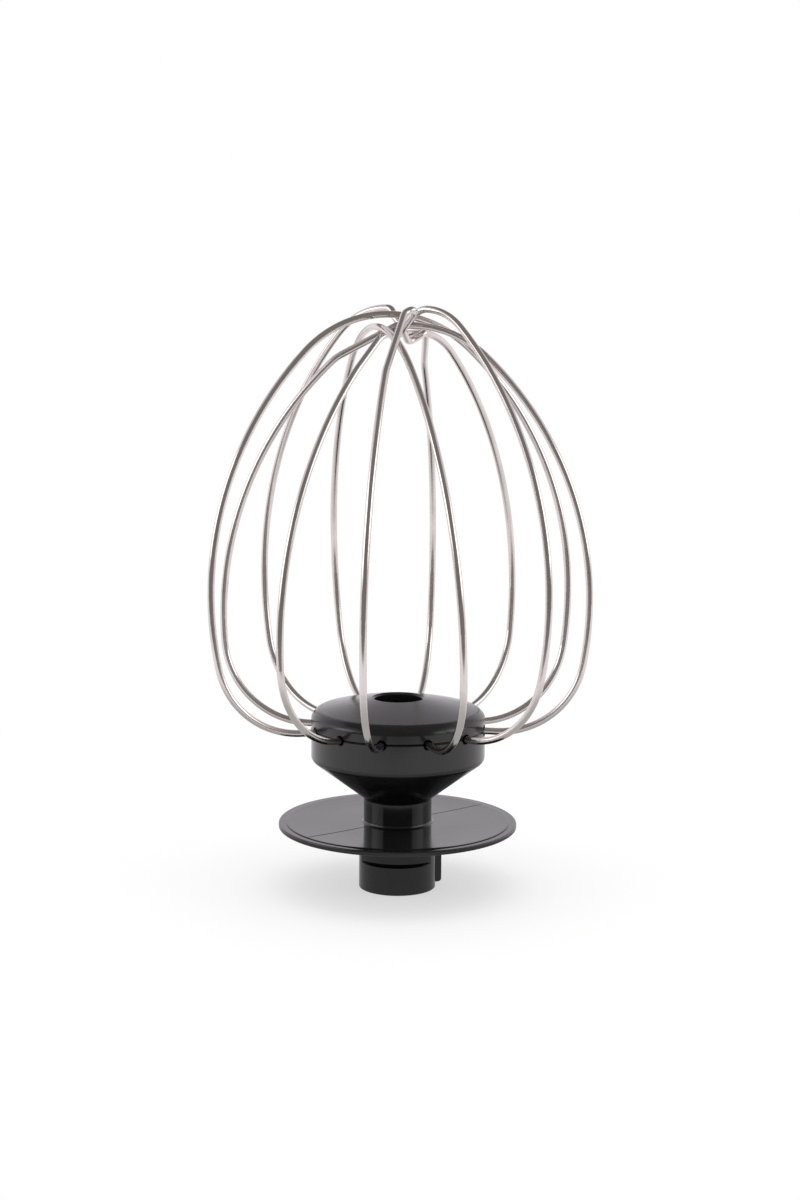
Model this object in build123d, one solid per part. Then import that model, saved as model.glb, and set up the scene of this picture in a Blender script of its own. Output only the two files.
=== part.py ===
"""Balloon whisk for a stand mixer: six bent wire loops held between a moulded hub and its cap."""
import os
from math import asin, atan, atan2, cos, degrees, radians, sin
from typing import NamedTuple

from build123d import *

# Overall sizes in millimetres: the whisk stands on the end of its drive socket, with its axis on Z,
# and the cage is widest at the belly, which rises that far above the hub's seam
total_height = 145.0
cage_diameter = 95.0
belly_rise = 32.6

# Wire, its even spacing round the hub (degrees) and the room left where two wires cross
wire_diameter = 1.75
crossing_gap = 0.15
leg_pitch = 30.0
first_azimuth = -10.5

# Legs below the belly: a long flank that turns into the lower bend and runs level into the hub
lower_flank_radius = 89.0
lower_bend_radius = 21.5

# Wire ends inside the hub: each leg hooks down behind the rim wall
hook_radius = 2.5
tail_radius = 15.5
tail_length = 3.0

# Crown: how far each loop passes below the shoulders of the highest one
upper_crown_drop = 1.4
middle_crown_drop = 4.0
leaning_crown_drop = 4.3

# Legs that climb straight to their crown: how far below it the flank stops, and the turn into the climb
side_climb = 9.6
front_left_climb = 9.5
front_climb = 15.6
back_climb = 18.2
climb_turn_radius = 10.0

# Hub rim and cone
rim_diameter = 43.3
seam_height = 40.8
rim_wall = 2.45
rim_bottom_height = 32.9
rim_edge_radius = 1.8
seam_chamfer = 0.3
cone_wall = 2.2
sleeve_diameter = 17.0
cone_bottom_height = 23.0

# Splash disc
disc_diameter = 59.5
disc_top_height = 16.75
disc_thickness = 1.2
disc_edge = 0.3
disc_root_radius = 0.6

# Drive socket: a round bore in a neck, with a skirt round it and a shallow window in the skirt's front
bore_diameter = 12.0
bore_depth = 22.5
web_thickness = 2.5
neck_wall = 2.3
skirt_diameter = 19.2
skirt_wall = 0.8
skirt_foot_radius = 0.2
window_sill_height = 7.0
window_azimuth = -4.0
window_half_angle = 64.0
window_depth = 1.3
window_gap = 0.6
key_azimuth = 110.0
key_reach = 11.3
key_width = 3.0
key_bottom_height = 0.5
key_corner_radius = 0.8

# Cap with its boss, which plugs into a ring on the body's web, and how full its dome is half way out
cap_band = 3.1
cap_bevel = 1.45
dome_rise = 3.05
cap_wall = 2.0
cap_edge_radius = 2.0
dome_bulge = 0.54
hole_diameter = 12.0
hole_chamfer = 0.6
boss_wall = 1.8
boss_fit = 0.1
boss_end_gap = 0.3
ring_wall = 1.6
ring_height = 5.5

# Slots for the wire, half in the body and half in the cap
slot_clearance = 0.35

# Sizes that follow from the ones above
wire_radius = wire_diameter / 2
crown_step = wire_diameter + crossing_gap
shoulder_height = total_height - wire_radius
upper_crown_height = shoulder_height - upper_crown_drop
dip_height = upper_crown_height - 1.14 * crown_step
middle_crown_height = shoulder_height - middle_crown_drop
lower_crown_height = middle_crown_height - 1.08 * crown_step
hook_height = lower_crown_height - 1.1 * crown_step
leaning_crown_height = shoulder_height - leaning_crown_drop
belly_radius = cage_diameter / 2 - wire_radius
belly_height = seam_height + belly_rise
rim_radius = rim_diameter / 2
rim_inner_radius = rim_radius - rim_wall
sleeve_radius = sleeve_diameter / 2
disc_radius = disc_diameter / 2
disc_bottom_height = disc_top_height - disc_thickness
bore_radius = bore_diameter / 2
neck_radius = bore_radius + neck_wall
skirt_radius = skirt_diameter / 2
skirt_inner_radius = skirt_radius - skirt_wall
skirt_root_height = window_sill_height + window_gap
floor_height = bore_depth + web_thickness
cap_edge_height = seam_height + cap_band
cap_shoulder_height = cap_edge_height + cap_bevel
cap_shoulder_radius = rim_radius - cap_bevel
cap_top_height = cap_shoulder_height + dome_rise
hole_radius = hole_diameter / 2
boss_radius = hole_radius + boss_wall
ring_inner_radius = boss_radius + boss_fit
ring_radius = ring_inner_radius + ring_wall
cone_slope = (rim_bottom_height - cone_bottom_height) / (rim_radius - sleeve_radius)
cone_lift = cone_wall / cos(atan(cone_slope))


class Leg(NamedTuple):
    """One leg of a loop: its belly's inset from the cage and drop below its belly, and its crown's radius."""
    inset: float
    drop: float
    crown_radius: float


class Loop(NamedTuple):
    """One bent wire: its place in the ring of legs, the lean of its plane in degrees, and its two legs."""
    name: str
    place: int
    lean: float
    near: Leg
    far: Leg


loop_front = Loop("wire_loop_front", 0, 1.0, Leg(-0.5, -2.0, 33.5), Leg(1.5, 0.0, 22.5))
loop_front_right = Loop("wire_loop_front_right", 1, -3.5, Leg(-2.2, 1.0, 34.0), Leg(1.5, 0.0, 29.5))
loop_right = Loop("wire_loop_right", 2, 1.0, Leg(1.0, -2.0, 15.5), Leg(0.0, -3.5, 22.5))
loop_side = Loop("wire_loop_side", 3, -0.5, Leg(-0.5, 0.0, 26.5), Leg(2.0, 6.5, 17.5))
loop_left = Loop("wire_loop_left", 4, 1.0, Leg(1.0, 0.5, 31.5), Leg(-1.0, -2.0, 29.0))
loop_front_left = Loop("wire_loop_front_left", 5, 0.0, Leg(1.0, 2.5, 18.0), Leg(4.0, 7.0, 18.5))


def leg_azimuth(place):
    """Azimuth of a leg's slot, in degrees from the front towards the right."""
    return first_azimuth + place * leg_pitch


def leg_plane(azimuth, lean):
    """Plane of one leg: X outwards along the slot, Y up, tipped sideways about the slot by the lean."""
    turn = radians(azimuth)
    tip = radians(lean)
    normal = (-cos(turn) * cos(tip), -sin(turn) * cos(tip), sin(tip))
    return Plane((0, 0, seam_height), x_dir=(sin(turn), -cos(turn), 0), z_dir=normal)


def level(height, lean):
    """Distance up a leaning plane from the seam to a height."""
    return (height - seam_height) / cos(radians(lean))


def leg_edges(leg, lean, peak, climb=None):
    """Edges of a leg in its own plane, from the tail in the hub up to the crown.

    The upper flank is the arc that leaves the belly upright and meets a crown arc, which is level
    at the peak (x, y). With a climb the flank stops that far below the peak, without its crown.
    """
    belly = belly_radius - leg.inset
    belly_level = level(belly_height - leg.drop, lean)
    bend = lower_bend_radius
    low = lower_flank_radius
    low_turn = asin((belly_level - bend) / (low - bend))
    low_angle = degrees(low_turn)
    bend_start = belly - low + (low - bend) * cos(low_turn)
    hook_end = tail_radius + hook_radius
    edges = [
        Line((tail_radius, -hook_radius - tail_length), (tail_radius, -hook_radius)),
        CenterArc((hook_end, -hook_radius), hook_radius, 180, -90),
        Line((hook_end, 0), (bend_start, 0)),
        CenterArc((bend_start, bend), bend, -90, 90 - low_angle),
        CenterArc((belly - low, belly_level), low, -low_angle, low_angle),
    ]
    crown = leg.crown_radius
    reach = belly - peak[0]
    rise = peak[1] - belly_level
    flank = (reach**2 + (rise - crown)**2 - crown**2) / (2 * (reach - crown))
    flank_centre = (belly - flank, belly_level)
    if climb is not None:
        edges.append(CenterArc(flank_centre, flank, 0, degrees(asin((rise - climb) / flank))))
        return edges
    turn = degrees(atan2(rise - crown, flank - reach))
    edges.append(CenterArc(flank_centre, flank, 0, turn))
    edges.append(CenterArc((peak[0], peak[1] - crown), crown, turn, 90 - turn))
    return edges


def dip_edges(shoulder, bottom, valley_radius):
    """Half of a dip: an arc down from a level shoulder and an arc that ends level at the bottom."""
    width = shoulder[0] - bottom[0]
    depth = shoulder[1] - bottom[1]
    turn = 2 * degrees(atan(depth / abs(width)))
    arcs = depth / (1 - cos(radians(turn)))
    shoulder_arc = arcs - valley_radius
    side = 1 if width > 0 else -1
    return [
        CenterArc((shoulder[0], shoulder[1] - shoulder_arc), shoulder_arc, 90, side * turn),
        CenterArc((bottom[0], bottom[1] + valley_radius), valley_radius, -90, side * turn),
    ]


def placed(plane, edges):
    """Edges moved from a leg's plane into the whisk."""
    return [plane * edge for edge in edges]


def bent_wire(edges):
    """Round wire along a chain of edges that starts with a near leg's tail."""
    path = Wire(edges)
    start = edges[0]
    section = Plane(start @ 0, z_dir=start % 0) * Circle(wire_radius)
    return sweep(section, path=path)


def leg_planes(loop):
    """Planes of a loop's near and far legs."""
    azimuth = leg_azimuth(loop.place)
    return leg_plane(azimuth, loop.lean), leg_plane(azimuth + 180, -loop.lean)


def plain_loop(loop, crown_height, shift=0.0):
    """Loop with one smooth crown, whose highest point lies a little towards the near leg."""
    near_plane, far_plane = leg_planes(loop)
    top = level(crown_height, loop.lean)
    near = placed(near_plane, leg_edges(loop.near, loop.lean, (shift, top)))
    far = placed(far_plane, leg_edges(loop.far, loop.lean, (-shift, top)))
    return bent_wire(near + far[::-1])


def dipped_loop(loop, near_shoulder, far_shoulder, dip_place, valley_radius):
    """Loop with two shoulders and a dip between them, in which another wire lies."""
    near_plane, far_plane = leg_planes(loop)
    top = level(shoulder_height, loop.lean)
    bottom = (dip_place, level(dip_height, loop.lean))
    near = placed(near_plane, leg_edges(loop.near, loop.lean, (near_shoulder, top)))
    far = placed(far_plane, leg_edges(loop.far, loop.lean, (far_shoulder, top)))
    down = dip_edges((near_shoulder, top), bottom, valley_radius)
    up = dip_edges((-far_shoulder, top), bottom, valley_radius)
    return bent_wire(near + placed(near_plane, down + up[::-1]) + far[::-1])


def climbing(leg_plane_edges, straight):
    """End of a leg's flank and the point that lies a straight run beyond it."""
    flank = leg_plane_edges[-1]
    return flank @ 1, flank @ 1 + (flank % 1) * straight


def crested_loop(loop, crown_height, near_peak, crest_place, crest_radius, climb, straight):
    """Loop whose far leg climbs straight to a crest, where it turns level towards the near leg."""
    near_plane, far_plane = leg_planes(loop)
    top = level(crown_height, loop.lean)
    near = placed(near_plane, leg_edges(loop.near, loop.lean, (near_peak, top)))
    far = placed(far_plane, leg_edges(loop.far, loop.lean, (0, top), climb))
    crest = near_plane.from_local_coords((crest_place, top))
    flank_end, climb_start = climbing(far, straight)
    radii = [crest_radius, climb_turn_radius]
    crown = FilletPolyline(near[-1] @ 1, crest, climb_start, flank_end, radius=radii)
    return bent_wire(near + crown.edges() + far[::-1])


def hooked_loop(loop, near_straight, far_straight, corners, corner_radii):
    """Loop with a hook in its crown: straight runs between corners, each turned at its radius."""
    near_plane, far_plane = leg_planes(loop)
    peak = (0, level(shoulder_height, loop.lean))
    near = placed(near_plane, leg_edges(loop.near, loop.lean, peak, front_climb))
    far = placed(far_plane, leg_edges(loop.far, loop.lean, peak, back_climb))
    near_end, near_run = climbing(near, near_straight)
    far_end, far_run = climbing(far, far_straight)
    radii = [climb_turn_radius, *corner_radii, climb_turn_radius]
    crown = FilletPolyline(near_end, near_run, *corners, far_run, far_end, radius=radii)
    return bent_wire(near + crown.edges() + far[::-1])


def slot_cutters():
    """Round radial bars that leave the wire slots in the rim."""
    length = 2 * rim_wall
    bar = Cylinder(wire_radius + slot_clearance, length, align=(Align.CENTER, Align.CENTER, Align.MIN))
    cutters = []
    for place in range(round(360 / leg_pitch)):
        plane = leg_plane(leg_azimuth(place), 0)
        start = plane.from_local_coords((rim_inner_radius - rim_wall / 2, 0))
        cutters.append(Plane(start, z_dir=plane.x_dir) * bar)
    return cutters


def corner_of(outline, point):
    """Corner of a flat outline that lies at a point."""
    return outline.vertices().sort_by_distance((*point, 0))[0]


def turned(outline):
    """Solid of revolution about Z from a face drawn in the XZ plane."""
    return revolve(Plane.XZ * outline, axis=Axis.Z)


def make_hub_body():
    """Rim, cone, sleeve, splash disc and drive socket, moulded in one piece."""
    outline = make_face(Polyline(
        (bore_radius, 0),
        (neck_radius, 0),
        (neck_radius, skirt_root_height),
        (skirt_inner_radius, skirt_root_height),
        (skirt_inner_radius, 0),
        (skirt_radius, 0),
        (skirt_radius, disc_bottom_height),
        (disc_radius, disc_bottom_height),
        (disc_radius, disc_top_height),
        (sleeve_radius, disc_top_height),
        (sleeve_radius, cone_bottom_height),
        (rim_radius, rim_bottom_height),
        (rim_radius, seam_height),
        (rim_inner_radius, seam_height),
        (rim_inner_radius, rim_bottom_height - cone_slope * rim_wall + cone_lift),
        (ring_radius, cone_bottom_height + cone_slope * (ring_radius - sleeve_radius) + cone_lift),
        (ring_radius, floor_height + ring_height),
        (ring_inner_radius, floor_height + ring_height),
        (ring_inner_radius, floor_height),
        (0, floor_height),
        (0, bore_depth),
        (bore_radius, bore_depth),
        close=True,
    ))
    rounded = {
        (skirt_radius, 0): skirt_foot_radius,
        (disc_radius, disc_bottom_height): disc_edge,
        (disc_radius, disc_top_height): disc_edge,
        (sleeve_radius, disc_top_height): disc_root_radius,
        (sleeve_radius, cone_bottom_height): disc_root_radius,
        (rim_radius, rim_bottom_height): rim_edge_radius,
    }
    for corner, radius in rounded.items():
        outline = fillet(corner_of(outline, corner), radius)
    outline = chamfer(corner_of(outline, (rim_radius, seam_height)), seam_chamfer)
    body = turned(outline)
    body = body.cut(*slot_cutters(), window_cutter())
    return body.fuse(drive_key())


def window_cutter():
    """Crescent that leaves the front window above its sill, deepest in the middle and nothing at its ends."""
    middle = skirt_radius - window_depth
    end = skirt_radius * cos(radians(window_half_angle))
    offset = (skirt_radius**2 - middle**2) / (2 * (middle - end))
    crescent = Circle(2 * skirt_radius) - Pos(0, offset) * Circle(middle + offset)
    height = disc_bottom_height - window_sill_height
    return Pos(0, 0, window_sill_height) * Rot(0, 0, window_azimuth) * extrude(crescent, height)


def drive_key():
    """Rib on the outside of the skirt, with its lower outer corner rounded."""
    start = (skirt_radius + skirt_inner_radius) / 2
    profile = make_face(Polyline(
        (start, key_bottom_height),
        (key_reach, key_bottom_height),
        (key_reach, disc_bottom_height),
        (start, disc_bottom_height),
        close=True,
    ))
    profile = fillet(corner_of(profile, (key_reach, key_bottom_height)), key_corner_radius)
    rib = extrude(Plane.XZ * profile, key_width / 2, both=True)
    return Rot(0, 0, key_azimuth - 90) * rib


def make_hub_cap():
    """Domed cap with a central hole and a boss that plugs into the body's ring."""
    edge_corner = (rim_radius, cap_edge_height)
    shoulder_corner = (cap_shoulder_radius, cap_shoulder_height)
    hole_corner = (hole_radius, cap_top_height)
    dome_middle = ((cap_shoulder_radius + hole_radius) / 2, cap_shoulder_height + dome_bulge * dome_rise)
    dome = ThreePointArc(shoulder_corner, dome_middle, hole_corner)
    ceiling = cap_shoulder_height - cap_wall
    under = Polyline(
        hole_corner,
        (hole_radius, floor_height + boss_end_gap),
        (boss_radius, floor_height + boss_end_gap),
        (boss_radius, cap_top_height - cap_wall),
        (rim_inner_radius, ceiling),
        (rim_inner_radius, seam_height),
        (rim_radius, seam_height),
        edge_corner,
        shoulder_corner,
    )
    outline = make_face(dome.edges() + under.edges())
    outline = chamfer(corner_of(outline, hole_corner), hole_chamfer)
    outline = chamfer(corner_of(outline, (rim_radius, seam_height)), seam_chamfer)
    for corner in (edge_corner, shoulder_corner):
        outline = fillet(corner_of(outline, corner), cap_edge_radius)
    cap = turned(outline)
    return cap.cut(*slot_cutters())


# Crown of the front loop: it climbs to a round shoulder, hooks under the middle wires and leaves behind them
hook_corners = [
    (0.5 * crown_step, -5.4 * crown_step, shoulder_height - 0.3 * crown_step),
    (2.15 * crown_step, -4.65 * crown_step, shoulder_height + 0.3 * crown_step),
    (0.26 * crown_step, -2.4 * crown_step, hook_height + 1.75 * crown_step),
    (1.0 * crown_step, 0.48 * crown_step, hook_height - 0.06 * crown_step),
    (3.1 * crown_step, 1.43 * crown_step, hook_height + 1.21 * crown_step),
    (3.36 * crown_step, 4.23 * crown_step, hook_height + 2.42 * crown_step),
]

parts = {
    "hub_body": make_hub_body(),
    "hub_cap": make_hub_cap(),
    loop_front.name: hooked_loop(
        loop_front, near_straight=2.6, far_straight=4.8, corners=hook_corners,
        corner_radii=[2.7, 1.5, 3.0, 2.1, 2.2, 2.5],
    ),
    loop_front_right.name: plain_loop(loop_front_right, leaning_crown_height),
    loop_right.name: dipped_loop(
        loop_right, near_shoulder=6.8, far_shoulder=5.8, dip_place=-0.6, valley_radius=2 * wire_diameter,
    ),
    loop_side.name: crested_loop(
        loop_side, middle_crown_height, near_peak=3.0, crest_place=-0.8, crest_radius=4.0,
        climb=side_climb, straight=2.4,
    ),
    loop_left.name: plain_loop(loop_left, upper_crown_height, shift=-3.0),
    loop_front_left.name: crested_loop(
        loop_front_left, lower_crown_height, near_peak=7.0, crest_place=-6.8, crest_radius=6.0,
        climb=front_left_climb, straight=2.0,
    ),
}

os.makedirs("parts", exist_ok=True)
for node, solid in parts.items():
    solid.label = node
    export_step(solid, f"parts/{node}.step")
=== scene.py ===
"""Blender scene of a stand mixer's wire whisk: a steel wire cage in a black moulded hub, on white."""
import logging
from dataclasses import dataclass, field
from enum import Enum
from math import radians
from typing import Sequence

import bpy
import numpy as np
from mathutils import Matrix, Vector


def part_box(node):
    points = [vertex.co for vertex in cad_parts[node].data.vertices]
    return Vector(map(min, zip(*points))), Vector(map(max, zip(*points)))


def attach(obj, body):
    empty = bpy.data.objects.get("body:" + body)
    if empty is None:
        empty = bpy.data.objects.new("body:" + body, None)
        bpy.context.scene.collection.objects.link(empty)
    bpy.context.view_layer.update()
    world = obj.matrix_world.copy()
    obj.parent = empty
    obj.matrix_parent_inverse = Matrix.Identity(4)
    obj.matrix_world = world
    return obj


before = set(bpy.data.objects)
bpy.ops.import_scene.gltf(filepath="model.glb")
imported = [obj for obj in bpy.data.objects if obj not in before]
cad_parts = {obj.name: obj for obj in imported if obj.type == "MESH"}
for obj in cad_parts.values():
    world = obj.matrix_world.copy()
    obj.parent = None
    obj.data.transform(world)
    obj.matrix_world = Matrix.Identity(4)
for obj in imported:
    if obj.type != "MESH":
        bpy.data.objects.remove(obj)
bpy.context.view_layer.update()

MM = 0.001
LOG = logging.getLogger("whisk")
ROD_CORNERS = 10  # points round a rod's oval section
ROD_TAPER = 0.995  # a rod's ends keep the root of what this leaves of 1

Colour = tuple[float, float, float, float]
Pair = tuple[float, float]


class Slot(Enum):
    """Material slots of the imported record."""
    HUB = "hub"
    WIRE = "wire"


def grey(level: float, warmth: float = 0.0) -> Colour:
    """Neutral colour with a slight warm or cool tint.

    Args:
        level: Linear brightness.
        warmth: Share by which red rises and blue falls; negative for a cool tint.

    Returns:
        The colour with full alpha.
    """
    return (level * (1 + warmth), level, level * (1 - warmth), 1.0)


class NodeBench:
    """Short hand for adding and wiring shader nodes in one tree."""
    # Places of the factor and the two colours among a colour mix's inputs, and of its result.
    mix_inputs: tuple[int, int, int] = (0, 6, 7)
    mix_result: int = 2

    def __init__(self, tree: bpy.types.NodeTree) -> None:
        """Keeps the tree that the nodes go into."""
        self.tree = tree

    def add(self, kind: str, settings: dict[str, object] | None = None, **sockets: object) -> bpy.types.Node:
        """Adds a node, sets its properties and fills or links its input sockets.

        Args:
            kind: Blender's type name of the node.
            settings: Properties of the node itself.
            **sockets: Input name, with underscores for spaces, to a value or to an output socket.

        Returns:
            The new node.
        """
        node = self.tree.nodes.new(kind)
        for name, value in (settings or {}).items():
            setattr(node, name, value)
        for name, value in sockets.items():
            self.plug(node.inputs[name.replace("_", " ")], value)
        return node

    def plug(self, socket: bpy.types.NodeSocket, value: object) -> None:
        """Links an output to an input socket, or sets the socket to a plain value.

        Args:
            socket: The input socket.
            value: An output socket, or the plain value.
        """
        if isinstance(value, bpy.types.NodeSocket):
            self.tree.links.new(value, socket)
        else:
            socket.default_value = value

    def math(self, operation: str, *values: object, clamp: bool = False) -> bpy.types.NodeSocket:
        """Adds a math node.

        Args:
            operation: Blender's name of the operation.
            *values: Its operands, as numbers or output sockets.
            clamp: Whether the result is kept between 0 and 1.

        Returns:
            The result's socket.
        """
        node = self.add("ShaderNodeMath", {"operation": operation, "use_clamp": clamp})
        for socket, value in zip(node.inputs, values):
            self.plug(socket, value)
        return node.outputs[0]

    def ramp(self, value: object, low: float, high: float) -> bpy.types.NodeSocket:
        """Smooth step of a value between 0 and 1.

        Args:
            value: Number or socket that is mapped.
            low: Value at and beyond which the result is 0.
            high: Value at and beyond which the result is 1.

        Returns:
            The result's socket.
        """
        node = self.add("ShaderNodeMapRange", {"interpolation_type": "SMOOTHSTEP"}, Value=value)
        node.inputs["From Min"].default_value = low
        node.inputs["From Max"].default_value = high
        return node.outputs["Result"]

    def blend(self, factor: object, first: object, second: object) -> bpy.types.NodeSocket:
        """Mixes two colours.

        Args:
            factor: Share of the second colour.
            first: Colour or socket at factor 0.
            second: Colour or socket at factor 1.

        Returns:
            The mixed colour's socket.
        """
        node = self.add("ShaderNodeMix", {"data_type": "RGBA"})
        for place, value in zip(self.mix_inputs, (factor, first, second)):
            self.plug(node.inputs[place], value)
        return node.outputs[self.mix_result]

    def mirrored(self, path: bpy.types.NodeOutputs) -> bpy.types.NodeSocket:
        """Marks the rays of a Light Path node that come from a reflection or through glass."""
        return self.math("ADD", path["Is Glossy Ray"], path["Is Transmission Ray"], clamp=True)


def empty_bench(owner: bpy.types.Material | bpy.types.World) -> NodeBench:
    """Opens the node tree of a material or world and empties it.

    Args:
        owner: The material or world.

    Returns:
        The bench of its tree.
    """
    owner.use_nodes = True
    owner.node_tree.nodes.clear()
    return NodeBench(owner.node_tree)


@dataclass(frozen=True)
class SurfaceGrain:
    """Shared effect: fine moulded or drawn grain and broad handling marks, on Object coordinates."""
    group_name: str = "surface grain"
    grain_detail: float = 3.0
    grain_roughness: float = 0.6
    smudge_detail: float = 4.0
    smudge_roughness: float = 0.55
    smudge_distortion: float = 0.6

    def group(self) -> bpy.types.NodeTree:
        """Builds the node group once and hands out the same one afterwards.

        Returns:
            The group's tree.
        """
        if self.group_name in bpy.data.node_groups:
            return bpy.data.node_groups[self.group_name]
        tree = bpy.data.node_groups.new(self.group_name, "ShaderNodeTree")
        for name, kind, way in (
            ("Grain Scale", "NodeSocketFloat", "INPUT"),
            ("Smudge Scale", "NodeSocketFloat", "INPUT"),
            ("Stretch", "NodeSocketVector", "INPUT"),
            ("Grain", "NodeSocketFloat", "OUTPUT"),
            ("Smudge", "NodeSocketFloat", "OUTPUT"),
        ):
            tree.interface.new_socket(name=name, in_out=way, socket_type=kind)
        bench = NodeBench(tree)
        entry = bench.add("NodeGroupInput")
        place = bench.add("ShaderNodeTexCoord").outputs["Object"]
        drawn = bench.add("ShaderNodeVectorMath", {"operation": "MULTIPLY"})
        bench.plug(drawn.inputs[0], place)
        bench.plug(drawn.inputs[1], entry.outputs["Stretch"])
        fine = bench.add(
            "ShaderNodeTexNoise", None, Vector=drawn.outputs[0], Scale=entry.outputs["Grain Scale"],
            Detail=self.grain_detail, Roughness=self.grain_roughness,
        )
        broad = bench.add(
            "ShaderNodeTexNoise", None, Vector=place, Scale=entry.outputs["Smudge Scale"],
            Detail=self.smudge_detail, Roughness=self.smudge_roughness, Distortion=self.smudge_distortion,
        )
        leave = bench.add("NodeGroupOutput")
        bench.plug(leave.inputs["Grain"], fine.outputs[0])
        bench.plug(leave.inputs["Smudge"], broad.outputs[0])
        return tree

    def place(
        self, bench: NodeBench, grain: float, smudge: float, stretch: Sequence[float] = (1.0, 1.0, 1.0),
    ) -> bpy.types.Node:
        """Places the group in a material.

        Args:
            bench: The material's node bench.
            grain: Grains per metre.
            smudge: Broad marks per metre.
            stretch: Factors on the grain's axes; a low one draws the grain out along that axis.

        Returns:
            The group's node, with the outputs Grain and Smudge.
        """
        node = bench.add("ShaderNodeGroup", {"node_tree": self.group()})
        node.inputs["Grain Scale"].default_value = grain
        node.inputs["Smudge Scale"].default_value = smudge
        node.inputs["Stretch"].default_value = stretch
        return node


@dataclass(frozen=True)
class Finish:
    """What every finish shares: a named material with one Principled shader."""
    name: str

    def start(self) -> tuple[NodeBench, bpy.types.Node]:
        """Makes an empty material.

        Returns:
            The bench of its node tree and the Principled node, which is wired to the output.
        """
        bench = empty_bench(bpy.data.materials.new(self.name))
        shader = bench.add("ShaderNodeBsdfPrincipled")
        bench.add("ShaderNodeOutputMaterial", None, Surface=shader.outputs[0])
        return bench, shader


@dataclass(frozen=True)
class MouldedPlastic(Finish):
    """Black moulded plastic with a good gloss, a fine grain and faint handling marks."""
    colour: Colour = grey(0.004)
    dusty: Colour = grey(0.0075, 0.02)
    smudge_range: Pair = (0.35, 0.7)
    roughness: float = 0.11
    roughness_spread: float = 0.07
    grain_per_metre: float = 5200.0
    smudges_per_metre: float = 60.0
    bump_strength: float = 0.04
    bump_depth: float = 0.01 * MM
    refraction: float = 1.54

    def material(self) -> bpy.types.Material:
        """Builds the material: smudges vary the colour and the gloss, and the grain gives a fine bump.

        Returns:
            The new material.
        """
        bench, shader = self.start()
        grain = SurfaceGrain().place(bench, self.grain_per_metre, self.smudges_per_metre)
        smudge = bench.ramp(grain.outputs["Smudge"], *self.smudge_range)
        spread = bench.math("MULTIPLY_ADD", smudge, self.roughness_spread, self.roughness)
        bump = bench.add("ShaderNodeBump", None, Strength=self.bump_strength, Distance=self.bump_depth)
        bench.plug(bump.inputs["Height"], grain.outputs["Grain"])
        bench.plug(shader.inputs["Base Color"], bench.blend(smudge, self.colour, self.dusty))
        bench.plug(shader.inputs["Roughness"], spread)
        bench.plug(shader.inputs["Normal"], bump.outputs[0])
        shader.inputs["IOR"].default_value = self.refraction
        return bpy.data.materials[self.name]


@dataclass(frozen=True)
class PaintedShadePlastic(Finish):
    """Matt black plastic that hardly reflects; used as painted shade where a slit should read dark."""
    colour: Colour = grey(0.0015)
    roughness: float = 0.9
    gloss: float = 0.1

    def material(self) -> bpy.types.Material:
        """Builds the material, with the same values all over.

        Returns:
            The new material.
        """
        shader = self.start()[1]
        shader.inputs["Base Color"].default_value = self.colour
        shader.inputs["Roughness"].default_value = self.roughness
        shader.inputs["Specular IOR Level"].default_value = self.gloss
        return bpy.data.materials[self.name]


@dataclass(frozen=True)
class DrawnSteel(Finish):
    """Stainless wire, polished after drawing, with fine lengthwise lines and a faint film."""
    colour: Colour = (0.74, 0.70, 0.665, 1.0)
    film: Colour = (0.66, 0.615, 0.58, 1.0)
    film_range: Pair = (0.4, 0.75)
    line_range: Pair = (0.3, 0.75)
    line_stretch: tuple[float, float, float] = (1.0, 1.0, 0.06)
    roughness: float = 0.13
    roughness_spread: float = 0.06
    grain_per_metre: float = 4200.0
    smudges_per_metre: float = 95.0

    def material(self) -> bpy.types.Material:
        """Builds the material: the drawn grain roughens the metal, and the film tints it in patches.

        Returns:
            The new material.
        """
        bench, shader = self.start()
        grain = SurfaceGrain().place(
            bench, self.grain_per_metre, self.smudges_per_metre, self.line_stretch,
        )
        film = bench.ramp(grain.outputs["Smudge"], *self.film_range)
        lines = bench.ramp(grain.outputs["Grain"], *self.line_range)
        spread = bench.math("MULTIPLY_ADD", lines, self.roughness_spread, self.roughness)
        bench.plug(shader.inputs["Base Color"], bench.blend(film, self.colour, self.film))
        bench.plug(shader.inputs["Roughness"], spread)
        shader.inputs["Metallic"].default_value = 1.0
        return bpy.data.materials[self.name]


def dress(node: str, material: bpy.types.Material) -> None:
    """Gives a CAD node its finish.

    Args:
        node: Name of the node.
        material: The finish.
    """
    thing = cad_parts[node]
    thing.data.materials.clear()
    thing.data.materials.append(material)
    low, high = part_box(node)
    LOG.info("%s: %s, %.1f mm tall", node, material.name, (high.z - low.z) / MM)


def mount(thing: bpy.types.Object, material: bpy.types.Material) -> None:
    """Gives a new piece of the hub its finish and lets it ride on the whisk.

    Args:
        thing: The piece.
        material: The finish.
    """
    thing.data.materials.append(material)
    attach(thing, "root")
    LOG.info("%s: %d faces", thing.name, len(thing.data.polygons))


@dataclass
class WireCage:
    """Six bent wire loops, which cross in the crown."""
    finish: DrawnSteel = DrawnSteel("drawn stainless wire")
    nodes: list[str] = field(
        default_factory=lambda: sorted(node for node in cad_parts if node.startswith("wire_loop"))
    )

    def dress(self) -> None:
        """Gives every loop the wire's finish."""
        steel = self.finish.material()
        for node in self.nodes:
            dress(node, steel)


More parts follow.
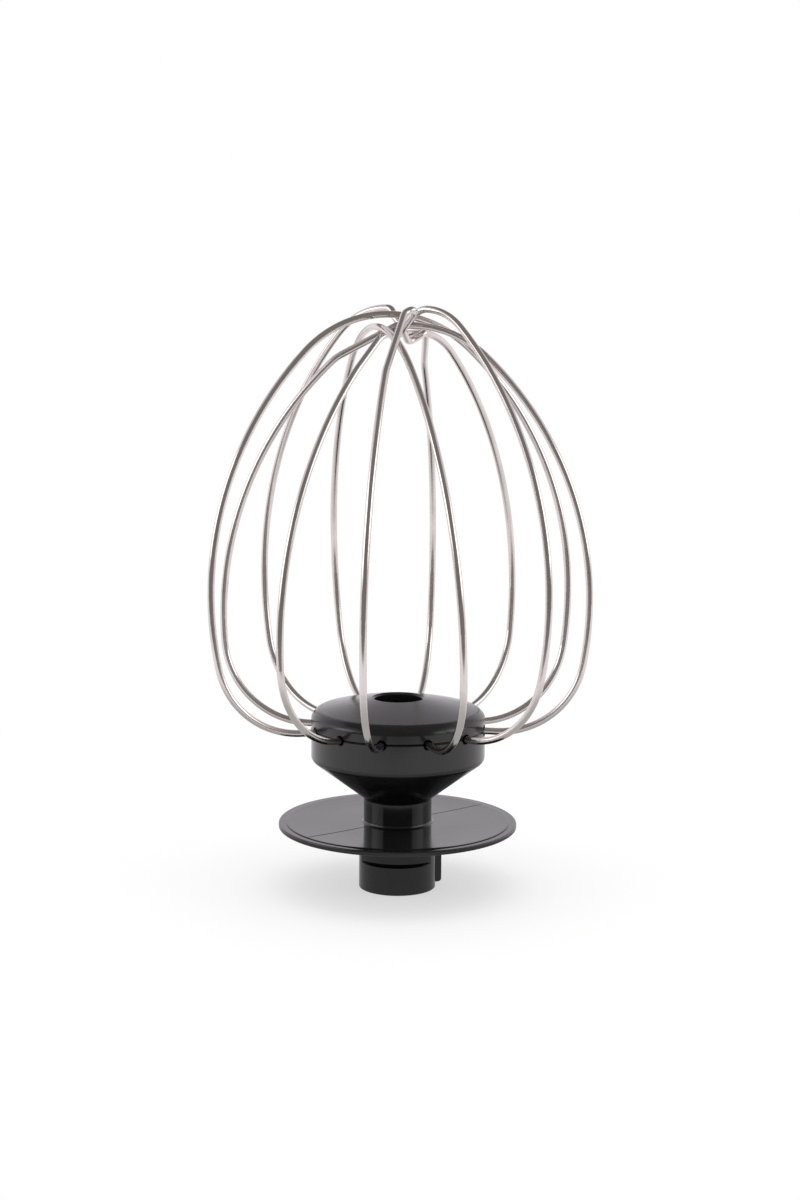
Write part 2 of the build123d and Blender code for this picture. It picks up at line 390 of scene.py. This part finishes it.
def round_quads(rows: int, columns: int, ring: bool = False) -> np.ndarray:
    """Quads of a grid of points whose rows each close on themselves.

    Each quad joins a point to the next one in its row, and the two to their neighbours in the next row.

    Args:
        rows: Number of rows.
        columns: Points in a row, of which the last is joined to the first.
        ring: Whether the last row is joined to the first one too.

    Returns:
        Point numbers, of shape (quads, 4).
    """
    row, column = np.meshgrid(np.arange(rows if ring else rows - 1), np.arange(columns), indexing="ij")
    here, there = row * columns, (row + 1) % rows * columns
    after = (column + 1) % columns
    return np.stack([here + column, here + after, there + after, there + column], -1).reshape(-1, 4)


def place_surface(name: str, points: np.ndarray, faces: list[list[int]]) -> bpy.types.Object:
    """Puts a worked-out surface into the scene, smooth and at the origin.

    Args:
        name: Name of the piece.
        points: Its points in metres, of shape (points, 3).
        faces: The point numbers of each face.

    Returns:
        The new object.
    """
    mesh = bpy.data.meshes.new(name)
    mesh.from_pydata(points.tolist(), [], faces)
    mesh.shade_smooth()
    thing = bpy.data.objects.new(name, mesh)
    bpy.context.scene.collection.objects.link(thing)
    return thing


def outward(azimuth: np.ndarray) -> np.ndarray:
    """Level unit vectors away from the axis, (sin a, -cos a, 0): azimuth 0 faces the camera."""
    return np.stack([np.sin(azimuth), -np.cos(azimuth), np.zeros_like(azimuth)], -1)


def tapered_rods(
    name: str, paths: np.ndarray, side: np.ndarray, half_sizes: Pair, bluntness: int = 6,
) -> bpy.types.Object:
    """Thin rods of oval section along paths, which taper to nothing at both ends.

    Round each path point runs an oval: the point plus side times width times cos(v) plus lift times
    height times sin(v). The lift is the tangent crossed with the side, and both half sizes shrink with
    the root of 1 minus a power of the way from the path's middle.

    Args:
        name: Name of the piece.
        paths: Points in metres, of shape (rods, points, 3).
        side: Unit vectors across each path, of the same shape.
        half_sizes: Half the width along side and half the height across it.
        bluntness: Power of the taper; an even number, and the higher, the blunter the ends.

    Returns:
        One object that holds all the rods, at the origin.
    """
    rods, points, _ = paths.shape
    tangent = np.gradient(paths, axis=1)
    tangent /= np.linalg.norm(tangent, axis=-1, keepdims=True)
    lift = np.cross(tangent, side)
    way = np.linspace(-1.0, 1.0, points)
    taper = np.sqrt(1.0 - ROD_TAPER * way**bluntness)[None, :, None, None]
    turn = np.linspace(0.0, 2 * np.pi, ROD_CORNERS, endpoint=False)[None, None, :, None]
    width, height = half_sizes
    oval = width * np.cos(turn) * side[:, :, None] + height * np.sin(turn) * lift[:, :, None]
    vertices = (paths[:, :, None] + taper * oval).reshape(-1, 3)
    first = np.arange(rods)[:, None] * points * ROD_CORNERS
    quads = (first[:, :, None] + round_quads(points, ROD_CORNERS)).reshape(-1, 4)
    ring = np.arange(ROD_CORNERS)
    starts = first + ring[::-1]
    ends = first + (points - 1) * ROD_CORNERS + ring
    return place_surface(name, vertices, quads.tolist() + starts.tolist() + ends.tolist())


@dataclass
class MouldMarks:
    """Traces of the mould: a parting line and a low step on the disc, and thin lips round the wire holes."""
    hub_high: Vector = field(default_factory=lambda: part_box("hub_body")[1])
    cap_high: Vector = field(default_factory=lambda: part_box("hub_cap")[1])
    disc_top: float = 16.75 * MM
    sleeve_radius: float = 8.5 * MM
    line_azimuth: float = radians(-52.0)
    line_margin: float = 0.9 * MM
    line_points: int = 40
    line_half_sizes: Pair = (0.16 * MM, 0.07 * MM)
    step_start: float = 14.0 * MM
    step_radius: float = 27.85 * MM
    step_height: float = 0.18 * MM
    step_round: float = 0.08 * MM
    step_sunk: float = 0.01 * MM
    step_foot: float = 0.2 * MM
    face_points: int = 24
    bend_points: int = 7
    step_spokes: int = 288
    first_azimuth: float = radians(-10.5)
    holes: int = 12
    lip_radius: float = 1.32 * MM
    lip_start: float = radians(24.0)
    lip_points: int = 28
    lip_half_sizes: Pair = (0.11 * MM, 0.11 * MM)

    def face(self, radius: np.ndarray) -> np.ndarray:
        """Height of the step's face over the disc, which grows with the square of the way out."""
        way = np.clip((radius - self.step_start) / (self.step_radius - self.step_start), 0.0, 1.0)
        return (self.step_height + self.step_sunk) * way**2 - self.step_sunk

    def parting_line(self) -> bpy.types.Object:
        """Two straight ridges from the sleeve to the disc's step, on opposite sides.

        Each runs outwards on the disc's face: the radius times (sin a, -cos a).

        Returns:
            One object with both ridges.
        """
        radius = np.linspace(self.sleeve_radius + self.line_margin, self.step_radius, self.line_points)
        azimuth = self.line_azimuth + np.array([0.0, np.pi])
        paths = radius[None, :, None] * outward(azimuth)[:, None]
        paths[:, :, 2] = self.disc_top + np.maximum(self.face(radius), 0.0)
        across = np.broadcast_to(outward(azimuth + np.pi / 2)[:, None], paths.shape)
        return tapered_rods("disc_parting_line", paths, across, self.line_half_sizes)

    def rim_step(self) -> bpy.types.Object:
        """Low step round the disc, a little inside its edge.

        Its section rises gently outwards along the face, turns down over a quarter round and closes
        inside the disc. Each section point is carried round the axis: its radius times (sin a, -cos a).

        Returns:
            The closed ring.
        """
        rise = np.linspace(self.step_start, self.step_radius, self.face_points)
        bend = np.linspace(0.0, np.pi / 2, self.bend_points)[1:]
        bend_radius = self.step_radius + self.step_round * np.sin(bend)
        bend_height = self.step_height - self.step_round * (1 - np.cos(bend))
        foot_radius = [self.step_radius + self.step_round, self.step_start]
        radius = np.concatenate([rise, bend_radius, foot_radius])
        height = np.concatenate([self.face(rise), bend_height, [-self.step_foot] * len(foot_radius)])
        azimuth = np.linspace(0.0, 2 * np.pi, self.step_spokes, endpoint=False)
        points = radius[None, :, None] * outward(azimuth)[:, None]
        points[:, :, 2] = self.disc_top + height
        quads = round_quads(self.step_spokes, len(radius), ring=True)
        return place_surface("disc_rim_step", points.reshape(-1, 3), quads.tolist())

    def lips(self, name: str, upper: bool) -> bpy.types.Object:
        """Half rings round the wire holes, above or below the seam.

        Each ring point lies on the rim: its azimuth is the hole's plus the lip's radius times cos(t),
        divided by the rim's radius, and its height is the seam's plus the lip's radius times sin(t).

        Args:
            name: Name of the piece.
            upper: Whether the lips are the cap's, above the seam, or the body's, below it.

        Returns:
            One object with a half ring at every hole.
        """
        rim = self.cap_high.x
        turn = np.linspace(self.lip_start, np.pi - self.lip_start, self.lip_points)
        turn += 0.0 if upper else np.pi
        hole = self.first_azimuth + np.arange(self.holes) * 2 * np.pi / self.holes
        outwards = outward(hole[:, None] + self.lip_radius * np.cos(turn)[None] / rim)
        paths = rim * outwards
        paths[:, :, 2] = self.hub_high.z + self.lip_radius * np.sin(turn)
        return tapered_rods(name, paths, outwards, self.lip_half_sizes)

    def build(self, body: bpy.types.Material, cap: bpy.types.Material) -> None:
        """Makes the marks in the finishes of the two mouldings.

        Args:
            body: Finish of the hub's body.
            cap: Finish of the cap.
        """
        mount(self.parting_line(), body)
        mount(self.rim_step(), body)
        mount(self.lips("body_hole_lips", False), body)
        mount(self.lips("cap_hole_lips", True), cap)


@dataclass
class PaintedSlitShade:
    """Painted shade: a matt dark strip that backs the slit over the window's sill, in the front of the drive
    socket, and stands in for the shade in that slit.
    """
    finish: PaintedShadePlastic = PaintedShadePlastic("painted slit shade black")
    sill_height: float = 7.0 * MM
    slit_height: float = 0.6 * MM
    azimuth: float = radians(-4.0)
    half_angle: float = radians(62.0)
    wall_radius: float = 11.143 * MM
    wall_offset: float = 2.843 * MM
    proud: float = 0.06 * MM
    half_sizes: Pair = (0.1 * MM, 0.34 * MM)
    points: int = 80
    bluntness: int = 4

    def build(self) -> None:
        """Lays the strip along the window's back wall, a round wall whose middle lies behind the axis.

        Its distance from the axis is the root of the wall's radius squared less the offset times sin(a)
        squared, less the offset times cos(a), and each point is that distance times (sin a, -cos a).
        """
        turn = np.linspace(-self.half_angle, self.half_angle, self.points)[None]
        reach = np.sqrt(self.wall_radius**2 - (self.wall_offset * np.sin(turn)) ** 2)
        distance = reach - self.wall_offset * np.cos(turn) + self.proud
        outwards = outward(self.azimuth + turn)
        paths = distance[:, :, None] * outwards
        paths[:, :, 2] = self.sill_height + self.slit_height / 2
        # Painted shade: this dark strip stands in for the shade deep in the window's slit.
        strip = tapered_rods("socket_window_painted_shade", paths, outwards, self.half_sizes, self.bluntness)
        mount(strip, self.finish.material())


@dataclass
class Hub:
    """Moulded body and domed cap, of the same black plastic."""
    body_finish: MouldedPlastic = MouldedPlastic("black hub plastic")
    cap_finish: MouldedPlastic = MouldedPlastic("black cap plastic", roughness=0.17)

    def dress(self) -> None:
        """Gives the two mouldings their finishes, and adds the mould's traces and the window's painted shade
        strip.
        """
        body, cap = self.body_finish.material(), self.cap_finish.material()
        dress("hub_body", body)
        dress("hub_cap", cap)
        MouldMarks().build(body, cap)
        PaintedSlitShade().build()


@dataclass(frozen=True)
class Softbox:
    """Rectangular area lamp: its middle and size in metres, and its power in watts."""
    name: str
    place: tuple[float, float, float]
    size: Pair
    power: float
    mirrored: bool = True

    def hang(self, target: Vector) -> None:
        """Hangs the lamp so that it faces a point.

        Args:
            target: The point, in metres.
        """
        lamp = bpy.data.lights.new(self.name, "AREA")
        lamp.shape = "RECTANGLE"
        lamp.size, lamp.size_y = self.size
        lamp.energy = self.power
        thing = bpy.data.objects.new(self.name, lamp)
        place = Vector(self.place)
        aim = (target - place).to_track_quat("-Z", "Y")
        thing.matrix_world = Matrix.Translation(place) @ aim.to_matrix().to_4x4()
        thing.visible_glossy = self.mirrored
        bpy.context.scene.collection.objects.link(thing)
        LOG.info("%s: %.1f W", self.name, self.power)


@dataclass
class Studio:
    """White floor and sweep, soft lamps, and a dim room above the sweep and in front of the floor's edge."""
    floor_radius: float = 3.0
    floor_rings: int = 24
    floor_spokes: int = 96
    floor_colour: Colour = grey(0.96)
    mirrored_shade_level: float = 0.5
    mirrored_shade_fade: Pair = (0.06, 0.17)
    shadow_lift: float = 0.55
    shadow_fade: Pair = (0.08, 0.22)
    front_edge: Pair = (-0.19, -0.215)
    room_colour: Colour = (0.212, 0.199, 0.196, 1.0)
    room_front: Pair = (-0.5, -0.2)
    sweep_top: Pair = (0.8, 0.7)
    sweep_dims: Pair = (0.15, 0.7)
    sweep_colour: Colour = (1.0, 0.965, 1.0, 1.0)
    sweep_high_colour: Colour = (0.66, 0.61, 0.665, 1.0)
    ambient: float = 0.86
    lamp_target: Vector = field(default_factory=lambda: Vector((0.0, 0.0, 0.045)))
    lamps: tuple[Softbox, ...] = (
        Softbox("left softbox", (-0.85, -0.25, 0.3), (0.75, 0.4), 1.3),
        Softbox("right softbox", (0.85, -0.25, 0.3), (0.75, 0.4), 1.3),
        Softbox("top softbox", (0.05, 0.1, 0.85), (0.8, 0.7), 1.6, mirrored=False),
    )

    def floor(self) -> None:
        """Makes the floor: a disc of rings whose radius grows with the square of the ring's number."""
        radius = np.linspace(0.0, 1.0, self.floor_rings + 1)[1:] ** 2 * self.floor_radius
        azimuth = np.linspace(0.0, 2 * np.pi, self.floor_spokes, endpoint=False)
        points = (radius[:, None, None] * outward(azimuth)).reshape(-1, 3)
        points = np.vstack([points, np.zeros((1, 3))])
        quads = round_quads(self.floor_rings, self.floor_spokes)[:, ::-1]
        first = np.arange(self.floor_spokes)
        middle = np.full(self.floor_spokes, len(points) - 1)
        inner = np.stack([middle, first, (first + 1) % self.floor_spokes], -1)
        thing = place_surface("floor", points, quads.tolist() + inner.tolist())
        thing.data.materials.append(self.floor_material())
        LOG.info("floor: %d faces", len(thing.data.polygons))

    def floor_material(self) -> bpy.types.Material:
        """Matt white near the whisk, where it takes the shadow, and plain white further out.

        In reflections the floor is an even pale grey near the whisk, which is painted shade that stands in
        for the whisk's shadow there, and white further out, up to its front edge, beyond which the room is
        dim.

        Returns:
            The new material.
        """
        material = bpy.data.materials.new("studio floor")
        bench = empty_bench(material)
        path = bench.add("ShaderNodeLightPath").outputs
        mirrored = bench.mirrored(path)
        place = bench.add("ShaderNodeTexCoord").outputs["Object"]
        distance = bench.add("ShaderNodeVectorMath", {"operation": "LENGTH"}, Vector=place).outputs["Value"]
        away = bench.ramp(distance, *self.shadow_fade)
        depth = bench.add("ShaderNodeSeparateXYZ", None, Vector=place).outputs["Y"]
        beyond = bench.ramp(depth, *self.front_edge)
        # Painted shade: in reflections the floor near the whisk glows a fixed pale grey in place of the
        # whisk's shadow.
        out_of_painted_shade = bench.ramp(distance, *self.mirrored_shade_fade)
        mirror_image = bench.blend(out_of_painted_shade, grey(self.mirrored_shade_level), self.sweep_colour)
        mirror_image = bench.blend(beyond, mirror_image, self.room_colour)
        plain = bench.add("ShaderNodeEmission", None, Color=bench.blend(mirrored, grey(1.0), mirror_image))
        matt = bench.add("ShaderNodeBsdfDiffuse", None, Color=self.floor_colour)
        lifted = bench.math("MAXIMUM", away, self.shadow_lift)
        share = bench.math("MULTIPLY_ADD", path["Is Camera Ray"], lifted, mirrored)
        both = bench.add("ShaderNodeMixShader", None, Fac=share)
        bench.plug(both.inputs[1], matt.outputs[0])
        bench.plug(both.inputs[2], plain.outputs[0])
        bench.add("ShaderNodeOutputMaterial", None, Surface=both.outputs[0])
        return material

    def world(self) -> None:
        """Even pale light, plain white for the camera, and for reflections the room as it stands.

        The room's sweep is white behind and beside the whisk, and a little dimmer towards its top edge.
        Above that edge and towards the front the room is dim.
        """
        world = bpy.data.worlds.new("studio room")
        bpy.context.scene.world = world
        bench = empty_bench(world)
        way = bench.add("ShaderNodeTexCoord").outputs["Generated"]
        axes = bench.add("ShaderNodeSeparateXYZ", None, Vector=way).outputs
        behind = bench.ramp(axes["Y"], *self.room_front)
        sweep = bench.math("MULTIPLY", behind, bench.ramp(axes["Z"], *self.sweep_top))
        height = bench.ramp(axes["Z"], *self.sweep_dims)
        paper = bench.blend(height, self.sweep_colour, self.sweep_high_colour)
        room = bench.blend(sweep, self.room_colour, paper)
        path = bench.add("ShaderNodeLightPath").outputs
        colour = bench.blend(bench.mirrored(path), grey(self.ambient), room)
        colour = bench.blend(path["Is Camera Ray"], colour, grey(1.0))
        back = bench.add("ShaderNodeBackground", None, Color=colour, Strength=1.0)
        bench.add("ShaderNodeOutputWorld", None, Surface=back.outputs[0])

    def build(self) -> None:
        """Sets up the floor, the room and the lamps."""
        bpy.context.scene.view_settings.view_transform = "Standard"
        self.floor()
        self.world()
        for lamp in self.lamps:
            lamp.hang(self.lamp_target)


@dataclass(frozen=True)
class PhotoCamera:
    """Camera that stands where the photograph was taken from."""
    distance: float = 550.0 * MM
    height: float = 160.0 * MM
    aside: float = 0.25 * MM
    pitch_down: float = radians(9.012)
    roll: float = radians(0.38)
    focal_share: float = 2256.3 / 1200.0
    sensor: float = 36.0
    clip_start: float = 10.0 * MM

    def build(self) -> None:
        """Makes the camera the scene's own. Its focal length is a share of the picture's height."""
        camera = bpy.data.cameras.new("photo camera")
        camera.sensor_fit = "VERTICAL"
        camera.sensor_height = self.sensor
        camera.lens = self.sensor * self.focal_share
        camera.clip_start = self.clip_start
        thing = bpy.data.objects.new("photo camera", camera)
        aim = Matrix.Rotation(radians(90) - self.pitch_down, 4, "X") @ Matrix.Rotation(self.roll, 4, "Z")
        thing.matrix_world = Matrix.Translation((self.aside, -self.distance, self.height)) @ aim
        bpy.context.scene.collection.objects.link(thing)
        bpy.context.scene.camera = thing
        LOG.info("camera: %.2f mm lens", camera.lens)


def main() -> None:
    """Builds the studio, the camera and the finishes, in order."""
    logging.basicConfig(level=logging.INFO, format="%(name)s %(message)s")
    Studio().build()
    PhotoCamera().build()
    Hub().dress()
    WireCage().dress()


if __name__ == "__main__":
    main()
